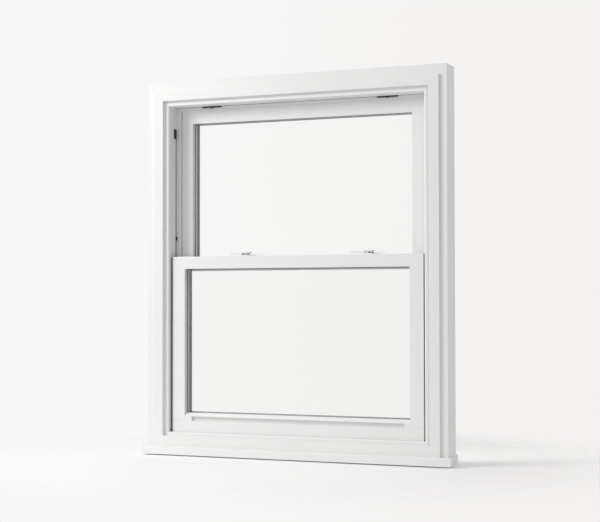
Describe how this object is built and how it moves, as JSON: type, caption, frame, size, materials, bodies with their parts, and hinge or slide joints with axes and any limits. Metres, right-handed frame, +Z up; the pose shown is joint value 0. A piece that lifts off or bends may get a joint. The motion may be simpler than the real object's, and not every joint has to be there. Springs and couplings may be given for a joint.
{
  "type": "single hung window",
  "caption": "White single hung window with a fixed upper sash, a lower sash in the room-side channel, sash locks, stepped frame and projecting sill, closed.",
  "frame": {"origin": "on the floor under the middle of the sill board, at the middle of the window's depth", "axes": "+Z up, +X to the right as seen from the room, +Y from the room to the outside"},
  "size_m": [1.039, 0.124, 1.2138],
  "materials": {
    "frame": "satin white",
    "sash": "satin white",
    "liner": "satin white extrusion",
    "glass": "clear float glass",
    "gasket": "matte black",
    "spacer": "mill finish",
    "lock": "glossy white",
    "dark_fitting": "matte black"
  },
  "bodies": {
    "root": {"bottom_inner_stop": "frame", "head": "frame", "head_band": "frame", "head_inner_stop": "frame", "head_liner": "liner", "head_outer_trim": "frame", "head_parting_stop": "liner", "left_band": "frame", "left_head_bar": "dark_fitting", "left_inner_stop": "frame", "left_jamb": "frame", "left_jamb_clip": "dark_fitting", "left_jamb_liner": "liner", "left_jamb_stop": "dark_fitting", "left_lock_base": "lock", "left_lock_lever": "lock", "left_outer_trim": "frame", "left_parting_stop": "liner", "lock_keepers": "lock", "lower_bottom_rail": "sash", "lower_check_rail": "sash", "lower_gasket": "gasket", "lower_left_stile": "sash", "lower_lift_rail": "sash", "lower_panes": "glass", "lower_right_stile": "sash", "lower_spacer": "spacer", "right_band": "frame", "right_head_bar": "dark_fitting", "right_inner_stop": "frame", "right_jamb": "frame", "right_jamb_clip": "dark_fitting", "right_jamb_liner": "liner", "right_jamb_stop": "dark_fitting", "right_lock_base": "lock", "right_lock_lever": "lock", "right_outer_trim": "frame", "right_parting_stop": "liner", "sill_board": "frame", "sill_rail": "frame", "upper_check_rail": "sash", "upper_gasket": "gasket", "upper_left_stile": "sash", "upper_panes": "glass", "upper_right_stile": "sash", "upper_spacer": "spacer", "upper_top_rail": "sash"}
  },
  "joints": []
}
